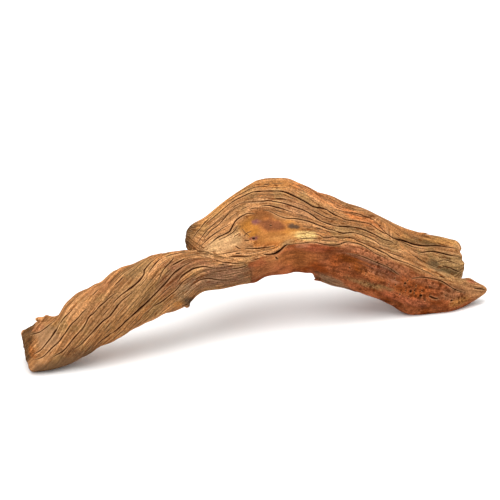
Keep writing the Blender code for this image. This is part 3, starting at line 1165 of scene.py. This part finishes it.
@dataclass
class DriftwoodLog:
    """The whole log, as one piece.

    Attributes:
        cell: size in mm of the fine cells in which it is carved.
        most: triangles of the finished piece.
        seed: chooses the cracks that aren't listed.
        finish: what it is made of.
        grain: how its grain runs.
        cracks: its cracks.
    """

    cell: float = 0.9
    most: int = 190_000
    seed: int = 11
    finish: WeatheredHeartwood = field(default_factory=WeatheredHeartwood)
    grain: Grain = field(default_factory=Grain)
    cracks: CrackLines = field(default_factory=CrackLines)

    ROUGHER = 1.6     # how much coarser the cells are in which its outline is nudged
    SPACING = 1.8     # mm, the least from one seeded crack to the next
    CLEAR = 1.5       # mm, the least from a placed crack to a seeded one
    TRIES = 4200      # seeded cracks that are tried
    LENGTHS = (14, 120)    # mm, of a seeded crack before it is cut short
    SHORTEST = 9           # mm, of one that is kept
    HALF_WIDTHS = (0.2, 0.45)   # mm, the least, and what a draw adds to it
    DEPTHS = (0.4, 2.4)    # mm, the depth for no width, and what each mm of it adds
    JUMP = 4.0        # mm, a gap over which a seeded crack breaks off
    MISS = 2.5        # mm, how far its path may lie from the surface's own grain
    SMOOTHEST = 0.4   # how smooth the wood that splits may be
    SKIN_DEEP = 0.97  # how near the surface a seeded crack lies
    EMPTY = -1e3      # mm, stands for a place that has no wood in front
    ARM_ENDS = -90    # mm, where the arm meets the trunk
    OPEN_ARM, OPEN_TRUNK = 0.92, 0.8   # how far their placed cracks stand open

    ARM_END = (-230.0, -245.0)        # mm along the log, the arm's end
    ARM_FOOT = (-8.0, -28.0)          # mm up the face, its foot
    ARM_DRAWN = 1.4                   # mm it is drawn out, and as much again at its foot
    TIP = (225.0, 245.0)              # mm along the log, the tongue's tip
    TIP_DRAWN = 1.5                   # mm that it is drawn out
    SHELTER_X = (-24.0, -16.0)        # mm, where the smooth sheltered face starts
    SHELTER_BELOW = (-1.0, 3.0)       # mm below the ridge, where it is smooth
    SHELTER_ROUGHENS = (20.0, 100.0)  # mm, along which it turns lumpy
    SHELTER_SMOOTH = (0.75, 0.45)     # how smooth it is, and what it loses of that there
    FORK_ENDS = (172.0, 150.0)        # mm, past which the stub and tongue part
    FORK_ROUNDS = 110                 # times that the hollow between them is evened,
    FORK_EVENED = 1.8                 # and how much of that its middle takes on
    FORK_SMOOTH = 3.4                 # how smooth the seam is, over its blend's slope
    SOLE = (3.0, 0.5)                 # mm above the ground, where the feet are worn flat
    FACING = (0.0, 0.3)               # how squarely a place faces forward
    FACING_SOFT = (-0.4, -0.1)        # the same where colour may wrap round an edge
    SEEN = 0.02                       # and the least where a crack is placed
    WANDER = 0.15                     # mm that a placed crack strays
    SWAY = 0.03                       # radians round the limb that a seeded one sways

    RED_FRAY = 1.2                    # mm, how far the red's upper edge is frayed
    RED_SOFTENS = (40.0, 90.0)        # mm along the log, where that edge turns soft
    RED_LEFT = (-21.0, -18.0)         # mm along it, the red's left end, under the lobe
    RED_RIGHT = (255.0, 215.0)        # mm along it, its right end, on the tongue's tip
    ROT_FROM = (40.0, 110.0)          # mm along it, where worms begin to show
    ROT_PATCHES = (-0.5, 0.35)        # noise at which their patches start and are full

    FINE = 0.5                        # mm, how far fine strands rise; broad ones rise 1
    VALLEY = 1.2                      # mm, how deep the valleys between strands are
    VALLEY_SHARP = 0.6                # power of their sides, sharper below 1
    VALLEY_LIFT = 0.6                 # keeps the wood's mean height where it was
    ARM_DEEPER = (-60.0, -90.0)       # mm, past which they are deeper by half
    WORN_OFF = 0.85                   # how much of the strands a smooth place has lost
    SEAM = (0.0, 0.3), (1.0, 0.7)     # blends of the stub's grain where its seam ends
    SEAM_FLAT = 0.8                   # how much of the strands the seam has lost
    LUMP = 0.8                        # mm, how far broad lumps rise
    WALL = 0.6                        # share of a crack's depth that steep walls cut
    WALL_WIDE = 0.3                   # mm past its edge where they end
    SHOULDER = 0.45                   # share of its depth that soft shoulders cut
    SHOULDER_WIDE = 2.2               # mm, how wide those are
    OPEN = 0.02                       # mm, half the thinnest crack that is cut
    OFF_GROUND = (0.2, 3.0)           # mm above the ground, below which none is cut
    HOLLOW = 0.6                      # mm, how deep a hollow is that counts in full
    HOLLOW_ROUNDS = 5                 # times the surface is evened to find them

    # Slivers of torn wood, on the leaning face: x, height and distance ahead of its
    # root and of its tip, how thick it is, and how flat.
    SPLINTERS = (
        ((-222, 6, 106), (-243, 0, 104), 5.0, 0.6),
        ((-218, 10, 106), (-239, 10, 104), 4.8, 0.5),
        ((-212, 11, 106), (-229, 13, 104), 4.0, 0.6),
        ((-247, -22, 104), (-249, -8, 102), 3.5, 0.6),
        ((84, 46, 21), (55, 50, 25), 4.2, 0.7),
        ((-86, 38, 78), (-82, 22, 70), 11.0, 0.7),
        ((208, 84, -72), (230, 88, -72), 7.0, 0.8),
        ((176, 101, -36), (190, 102, -40), 3.0, 0.6),
    )

    def build(self) -> bpy.types.Object:
        """Makes the log.

        Returns:
            The finished piece.
        """
        log = self.rough_out()
        self.weather(log)
        self.lay_cracks(log)
        self.carve(log)
        self.thin(log)
        self.store(log)
        log.data.materials.clear()
        log.data.materials.append(self.finish.material())
        select_only([log])
        bpy.ops.object.shade_smooth()
        LOG.info("log: %d triangles", len(log.data.polygons))
        return log

    def rough_out(self) -> bpy.types.Object:
        """Copies the frame's solid, adds the splinters and remeshes the whole finely."""
        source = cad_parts["driftwood"]
        log = source.copy()
        log.data = source.data.copy()
        log.name = log.data.name = "weathered_log"
        log.parent = None
        for key in list(log.keys()):
            del log[key]
        bpy.context.scene.collection.objects.link(log)
        select_only([log])
        bpy.ops.object.mode_set(mode="EDIT")
        bpy.ops.mesh.select_all(action="SELECT")
        bpy.ops.mesh.remove_doubles(threshold=1e-5)
        bpy.ops.object.mode_set(mode="OBJECT")
        self.remesh(log, self.ROUGHER * self.cell)
        points = coordinates(log.data)
        face = face_place(points)
        for oval, up in NUDGES:
            points += np.outer(up * oval.near(face), RISE)
        points[:, 0] += self.TIP_DRAWN * ease(*self.TIP, points[:, 0])
        for oval, along in END_SHIFTS:
            points[:, 0] += along * oval.near(face)
        points[:, 0] -= ease(*self.ARM_END, points[:, 0]) * (
            self.ARM_DRAWN + self.ARM_DRAWN * ease(*self.ARM_FOOT, face[:, 1]))
        points[:, 2] = np.maximum(points[:, 2], 0.0)
        place(log.data, points)
        points = coordinates(log.data)
        fork = FORK.near(face_place(points))[:, None]
        even = self.evened(log.data, points, self.FORK_ROUNDS)
        place(log.data, points + np.clip(self.FORK_EVENED * fork, 0, 1) * (even - points))
        slivers = [self.sliver(*spec) for spec in self.SPLINTERS]
        select_only([log, *slivers])
        bpy.ops.object.join()
        self.remesh(log, self.cell)
        even = log.modifiers.new("even", "SMOOTH")
        even.factor, even.iterations = 0.5, 2
        bpy.ops.object.modifier_apply(modifier="even")
        LOG.info("roughed out: %d faces", len(log.data.polygons))
        return log

    def remesh(self, log: bpy.types.Object, size: float) -> None:
        """Remeshes the log in cells of this size in mm."""
        fine = log.modifiers.new("fine", "REMESH")
        fine.mode, fine.voxel_size = "VOXEL", size * MM
        bpy.ops.object.modifier_apply(modifier="fine")

    def sliver(
        self, root: Sequence[float], tip: Sequence[float], thick: float, flat: float
    ) -> bpy.types.Object:
        """One torn splinter, as a flattened six-sided cone.

        Args:
            root: where it grows from: x, height and distance ahead, in mm.
            tip: where it ends.
            thick: its radius at the root.
            flat: its thickness over its width.

        Returns:
            The splinter.
        """
        ends = from_face(np.array([root, tip], float))
        start, end = Vector(ends[0]) * MM, Vector(ends[1]) * MM
        run = end - start
        bpy.ops.object.select_all(action="DESELECT")
        bpy.ops.mesh.primitive_cone_add(
            vertices=6, radius1=thick * MM, radius2=0.3 * thick * MM,
            depth=run.length, location=(start + end) / 2,
            rotation=run.to_track_quat("Z", "Y").to_euler(), scale=(1.0, flat, 1.0),
        )
        return bpy.context.active_object

    def weather(self, log: bpy.types.Object) -> None:
        """Wears strands, lumps and hollows into the surface."""
        points, out = coordinates(log.data), normals(log.data)
        at = self.grain.read(points)
        face = face_place(points)
        front = ease(*self.FACING, out @ AHEAD)
        smooth = self.smooth_wood(at, face, front)
        stub, grain = at["stub_part"], at["grain"]
        strands = Noise.STRANDS.at(grain) + self.FINE * Noise.FINE_STRANDS.at(grain)
        valleys = -np.abs(Noise.VALLEYS.at(grain)) ** self.VALLEY_SHARP
        one, other = self.SEAM
        crease = 1 - self.SEAM_FLAT * ease(*one, stub) * ease(*other, stub)
        deep = self.VALLEY * (1 + 0.5 * ease(*self.ARM_DEEPER, points[:, 0]))
        worn = 1 - self.WORN_OFF * smooth
        rise = (strands + deep * (valleys + self.VALLEY_LIFT)) * worn * crease
        rise += self.LUMP * Noise.LUMPS.at(points)
        for oval, swell in SWELLS:
            rise += swell * oval.near(face) * front
        rise *= 1 - ease(*self.SOLE, points[:, 2])
        points = points + out * rise[:, None]
        points[:, 2] = np.maximum(points[:, 2], 0.0)
        place(log.data, points)

    def smooth_wood(self, at: dict[str, Array], face: Array, front: Array) -> Array:
        """Says how smooth the wood is.

        Args:
            at: what the grain says of each place.
            face: the places on the leaning face.
            front: how much each place faces forward, from 0 to 1.

        Returns:
            How smooth each place is, from 0 to 1.
        """
        x, stub = face[:, 0], at["stub_part"]
        rubbed = [share * ease(*edge, oval.near(face)) * front
                  for oval, edge, share in RUBBED]
        under = ease(*self.SHELTER_BELOW, at["below"]) * ease(*self.SHELTER_X, x)
        most, lost = self.SHELTER_SMOOTH
        under *= most - lost * ease(*self.SHELTER_ROUGHENS, x)
        fork = self.FORK_SMOOTH * stub * (1 - stub) * ease(*self.FORK_ENDS, x)
        return np.maximum.reduce([*rubbed, under, fork])

    def lay_cracks(self, log: bpy.types.Object) -> None:
        """Lays the placed cracks and the seeded ones on the surface."""
        points, out = coordinates(log.data), normals(log.data)
        self.lay_face_cracks(points, out)
        placed = len(self.cracks.lines)
        self.lay_seeded_cracks(points, out)
        self.cracks.sort()
        LOG.info("cracks: %d placed, %d seeded", placed, len(self.cracks.lines) - placed)

    def lay_face_cracks(self, points: Array, out: Array) -> None:
        """Drops each placed crack onto the front of the log."""
        face = face_place(points)
        seen = (out @ AHEAD) > self.SEEN
        low = np.floor(face[:, :2].min(axis=0)) - 1
        cells = np.ceil(face[:, :2].max(axis=0) - low).astype(int) + 2
        ahead = np.full(tuple(cells), self.EMPTY)
        index = np.round(face[seen, :2] - low).astype(int)
        np.maximum.at(ahead, tuple(index.T), face[seen, 2])
        for _ in range(3):
            padded = np.pad(ahead, 1, constant_values=self.EMPTY)
            around = np.max([padded[1 + i:1 + i + cells[0], 1 + j:1 + j + cells[1]]
                             for i in (-1, 0, 1) for j in (-1, 0, 1)], axis=0)
            ahead = np.where(ahead == self.EMPTY, around, ahead)
        tree = tree_of(points)
        holes = [
            Crack(((x - half, h), (x, h), (x + half, h)), half, depth)
            for spots, half, depth in ((WORM_HOLES, 0.9, 1.2), (WIDE_HOLES, 1.5, 2.0))
            for x, h in spots
        ]
        for crack in (*FACE_CRACKS, *holes):
            line = smooth_path(np.array(crack.line, float), 0.6)
            wander = np.column_stack([line, np.zeros(len(line))])
            line = line + self.WANDER * np.column_stack(
                [Noise.WANDER_X.at(wander), Noise.WANDER_HEIGHT.at(wander)])
            cell = np.round(line - low).astype(int)
            cell = np.clip(cell, 0, cells - 1)
            reach = ahead[tuple(cell.T)]
            keep = reach != self.EMPTY
            if keep.sum() < CrackLines.FEWEST:
                continue
            line, reach = line[keep], running_mean(reach[keep], 5)
            spots = from_face(np.column_stack([line, reach]))
            normal = out[[tree.find(spot)[1] for spot in spots]]
            open_by = self.OPEN_TRUNK if crack.line[0][0] > self.ARM_ENDS else self.OPEN_ARM
            self.cracks.add(spots, normal, open_by * crack.width, crack.depth)

    def lay_seeded_cracks(self, points: Array, out: Array) -> None:
        """Runs seeded cracks along the grain wherever none was placed."""
        draw = np.random.default_rng(self.seed)
        at = self.grain.read(points)
        face = face_place(points)
        smooth = self.smooth_wood(at, face, ease(*self.FACING, out @ AHEAD))
        tree = tree_of(at["grain"])
        taken = self.cells_near([line["points"] for line in self.cracks.lines], self.CLEAR)
        thinnest, wider = self.HALF_WIDTHS
        shallow, deeper = self.DEPTHS
        for _ in range(self.TRIES):
            start = int(draw.integers(len(points)))
            length = draw.uniform(*self.LENGTHS)
            width = thinnest + wider * draw.uniform() ** 2
            depth = shallow + deeper * width
            steps = np.arange(-length / 2, length / 2)
            sway = np.column_stack([steps, np.full((len(steps), 2), float(start))])
            grain = at["grain"][start]
            turn = np.arctan2(grain[2], grain[1])
            turn = turn + self.SWAY * Noise.SWAY.at(sway)
            path = np.column_stack([grain[0] + steps, GRAIN_RADIUS * np.cos(turn),
                                    GRAIN_RADIUS * np.sin(turn)])
            hits = np.array([tree.find(spot)[1:] for spot in path])
            index, miss = hits[:, 0].astype(int), hits[:, 1]
            spots = points[index]
            jump = np.r_[0, np.linalg.norm(np.diff(spots, axis=0), axis=1)]
            cells = [tuple(cell) for cell in np.floor(spots / self.SPACING).astype(int)]
            free = np.array([cell not in taken for cell in cells])
            good = (miss < self.MISS) & free & (jump < self.JUMP)
            good &= (smooth[index] < self.SMOOTHEST) & (at["deep"][index] > self.SKIN_DEEP)
            good &= at["below"][index] < 1.0
            run = self.longest_run(good)
            if run.stop - run.start < self.SHORTEST:
                continue
            line = np.stack([running_mean(spots[run, k], 7) for k in range(3)], 1)
            self.cracks.add(line, out[index[run]], width, depth)
            taken |= self.cells_near([line], 0.6 * self.SPACING)

    def cells_near(self, lines: Iterable[Array], reach: float) -> set[tuple[int, ...]]:
        """The cells of space that lie within reach of lines, to keep new cracks away."""
        offsets = [np.array(step) * reach for step in np.ndindex(3, 3, 3)]
        return {
            tuple(cell)
            for line in lines
            for offset in offsets
            for cell in np.floor((line + offset - reach) / self.SPACING).astype(int)
        }

    def longest_run(self, good: Array) -> slice:
        """The longest stretch of true values."""
        best, start = slice(0, 0), None
        for i, value in enumerate([*good, False]):
            if value and start is None:
                start = i
            elif not value and start is not None:
                if i - start > best.stop - best.start:
                    best = slice(start, i)
                start = None
        return best

    def carve(self, log: bpy.types.Object) -> None:
        """Cuts the cracks and worm holes into the surface."""
        points, out = coordinates(log.data), normals(log.data)
        side, width, depth = self.cracks.near(points)
        sharp = 1 - ease(0.0, 1.0, np.abs(side) / (width + self.WALL_WIDE))
        soft = self.SHOULDER * np.exp(-((side / self.SHOULDER_WIDE) ** 2))
        soft *= np.minimum(width, 1.0)
        share = np.where(width > self.OPEN, self.WALL * sharp + soft, 0.0)
        cut = (depth * share).max(axis=1)
        cut *= ease(*self.OFF_GROUND, points[:, 2])
        points = points - out * cut[:, None]
        place(log.data, points)

    def thin(self, log: bpy.types.Object) -> None:
        """Takes out triangles where the surface is plain."""
        select_only([log])
        triangles = 2 * len(log.data.polygons)
        if triangles > self.most:
            fewer = log.modifiers.new("fewer", "DECIMATE")
            fewer.ratio = self.most / triangles
            fewer.use_collapse_triangulate = True
            bpy.ops.object.modifier_apply(modifier="fewer")

    def store(self, log: bpy.types.Object) -> None:
        """Stores on the surface what its finish reads."""
        points, out = coordinates(log.data), normals(log.data)
        at = self.grain.read(points)
        face = face_place(points)
        front = ease(*self.FACING_SOFT, out @ AHEAD)
        side, width, _ = self.cracks.near(points)
        ragged = Noise.RAGGED.at(points) + 0.5 * Noise.FINE_RAGGED.at(points)
        red = self.redness(at["below"], face, ragged)
        smooth = self.smooth_wood(at, face, front)
        # how hollow each place is, for painted shade in hollows and a painted highlight on
        # ridges
        hollow_shading = self.shaded_hollows(log.data, points, out)
        self.attribute(log, Stored.GRAIN.value, at["grain"] * MM)
        each = CrackLines.PER_ATTRIBUTE
        for group in range(CrackLines.CHANNELS // each):
            part = slice(each * group, each * (group + 1))
            self.attribute(log, Stored.CRACK_SIDE.value.format(group), side[:, part])
            self.attribute(log, Stored.CRACK_WIDE.value.format(group), width[:, part])
        self.attribute(log, Stored.WORN_AND_SHADING.value, np.column_stack([smooth, hollow_shading, red]))
        patches = ease(*self.ROT_PATCHES, Noise.PATCHES.at(points))
        rot = red * patches * ease(*self.ROT_FROM, face[:, 0])
        self.attribute(log, Stored.ROT.value, np.column_stack([rot, rot, rot]))
        # the stains blended into one colour, with painted shade and painted highlights
        # among them
        colour, cover = np.zeros((len(points), 3)), np.zeros(len(points))
        for stain in STAINS_AND_PAINTED_LIGHT:
            over = (stain.over(face, ragged) * front)[:, None]
            colour = colour * (1 - over) + np.array(linear(stain.colour)[:3]) * over
            cover = cover * (1 - over[:, 0]) + over[:, 0]
        colour /= np.maximum(cover, 1e-3)[:, None]
        layer = log.data.attributes.new(Stored.STAIN_AND_LIGHT_TINT.value, "FLOAT_COLOR", "POINT")
        flat = np.column_stack([colour, cover]).astype(np.float32).ravel()
        layer.data.foreach_set("color", flat)

    def redness(self, below: Array, face: Array, ragged: Array) -> Array:
        """Says how red the wood is: the sheltered face, between two slanting ends.

        Args:
            below: how far each place lies below the ridge, in mm.
            face: the places on the leaning face.
            ragged: noise that frays the red's edges.

        Returns:
            How red each place is, from 0 to 1.
        """
        x, height = face[:, 0], face[:, 1]
        edge = self.RED_FRAY + 4.0 * ease(*self.RED_SOFTENS, x)
        red = ease(-self.RED_FRAY, edge, below + self.RED_FRAY * ragged)
        red *= ease(*self.RED_LEFT, x - 0.25 * (height - 58) + ragged)
        return red * ease(*self.RED_RIGHT, x + 0.9 * (height - 35))

    def evened(self, mesh: bpy.types.Mesh, points: Array, rounds: int) -> Array:
        """The vertices drawn towards their neighbours a number of times.

        Args:
            mesh: the mesh whose edges join them.
            points: where they are, in mm.
            rounds: how many times.

        Returns:
            Where they end up.
        """
        flat = np.empty(len(mesh.edges) * 2, np.int32)
        mesh.edges.foreach_get("vertices", flat)
        first, second = flat.reshape(-1, 2).T
        count = np.bincount(first, minlength=len(points))
        count = count + np.bincount(second, minlength=len(points))
        even = points.copy()
        for _ in range(rounds):
            total = np.zeros_like(even)
            for k in range(3):
                total[:, k] = np.bincount(first, even[second, k], len(points))
                total[:, k] += np.bincount(second, even[first, k], len(points))
            even = 0.3 * even + 0.7 * total / count[:, None]
        return even

    def shaded_hollows(self, mesh: bpy.types.Mesh, points: Array, out: Array) -> Array:
        """How far each vertex lies below its surroundings, from -1 to 1, for the painted
        shade in its hollows and the painted highlight on its ridges.
        """
        even = self.evened(mesh, points, self.HOLLOW_ROUNDS)
        return np.clip(np.sum((even - points) * out, axis=1) / self.HOLLOW, -1.0, 1.0)

    def attribute(self, log: bpy.types.Object, name: str, values: Array) -> None:
        """Writes three numbers to each vertex under a name."""
        layer = log.data.attributes.new(name, "FLOAT_VECTOR", "POINT")
        layer.data.foreach_set("vector", values.astype(np.float32).ravel())


# ---------------------------------------------------------------- the studio


@dataclass
class Studio:
    """A pale floor, soft light and the camera.

    Attributes:
        target: the point that the camera looks at, in metres.
        distance: from the camera to it.
        lens: focal length in mm.
        sensor: width of the picture behind it, in mm.
        sky: strength of the room's light.
        lit: the point that the lamps aim at, in metres.
    """

    target: tuple[float, float, float] = (-0.0152, -0.0171, 0.099)
    distance: float = 1.5
    lens: float = 100.0
    sensor: float = 36.0
    sky: float = 0.72
    lit: tuple[float, float, float] = (0.0, 0.0, 0.06)

    def build(self) -> None:
        """Makes the floor, the lights and the camera."""
        self.lay_floor()
        self.hang_lights()
        self.set_camera()

    def lay_floor(self) -> None:
        """A wide sheet of matt white paper."""
        bpy.ops.object.select_all(action="DESELECT")
        bpy.ops.mesh.primitive_plane_add(size=8.0, location=(0, 0, 0))
        floor = bpy.context.active_object
        floor.name = "paper_floor"
        paper = bpy.data.materials.new("white_paper")
        paper.use_nodes = True
        shader = paper.node_tree.nodes["Principled BSDF"]
        shader.inputs["Base Color"].default_value = linear("#F7F7F6")
        shader.inputs["Roughness"].default_value = 0.9
        floor.data.materials.append(paper)

    def hang_lights(self) -> None:
        """A bright room and one large soft lamp above and in front."""
        room = bpy.data.worlds.new("bright_room")
        room.use_nodes = True
        sky = room.node_tree.nodes["Background"]
        sky.inputs["Color"].default_value = linear("#FFFFFF")
        sky.inputs["Strength"].default_value = self.sky
        bpy.context.scene.world = room
        for name, place_at, size, power in (
            ("key", (-0.35, -0.65, 2.0), 1.7, 44.0),
            ("top", (0.4, 0.3, 1.9), 1.4, 14.0),
        ):
            light = bpy.data.lights.new(name, "AREA")
            light.size, light.energy = size, power
            lamp = bpy.data.objects.new(name, light)
            lamp.location = place_at
            aim = Vector(self.lit) - Vector(place_at)
            lamp.rotation_euler = aim.to_track_quat("-Z", "Y").to_euler()
            bpy.context.scene.collection.objects.link(lamp)
        bpy.context.scene.view_settings.view_transform = "Standard"

    def set_camera(self) -> None:
        """A long lens that looks down on the log's face."""
        back = Vector(AHEAD)
        camera = bpy.data.objects.new("camera", bpy.data.cameras.new("camera"))
        camera.data.lens, camera.data.sensor_width = self.lens, self.sensor
        camera.location = Vector(self.target) + back * self.distance
        camera.rotation_euler = (-back).to_track_quat("-Z", "Y").to_euler()
        bpy.context.scene.collection.objects.link(camera)
        bpy.context.scene.camera = camera


def main() -> None:
    """Builds the log, hangs it on the root body, hides the frame's solid and builds the
    studio.
    """
    logging.basicConfig(level=logging.INFO, format="%(name)s: %(message)s")
    log = DriftwoodLog().build()
    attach(log, "root")
    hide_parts("driftwood")
    Studio().build()


if __name__ == "__main__":
    main()
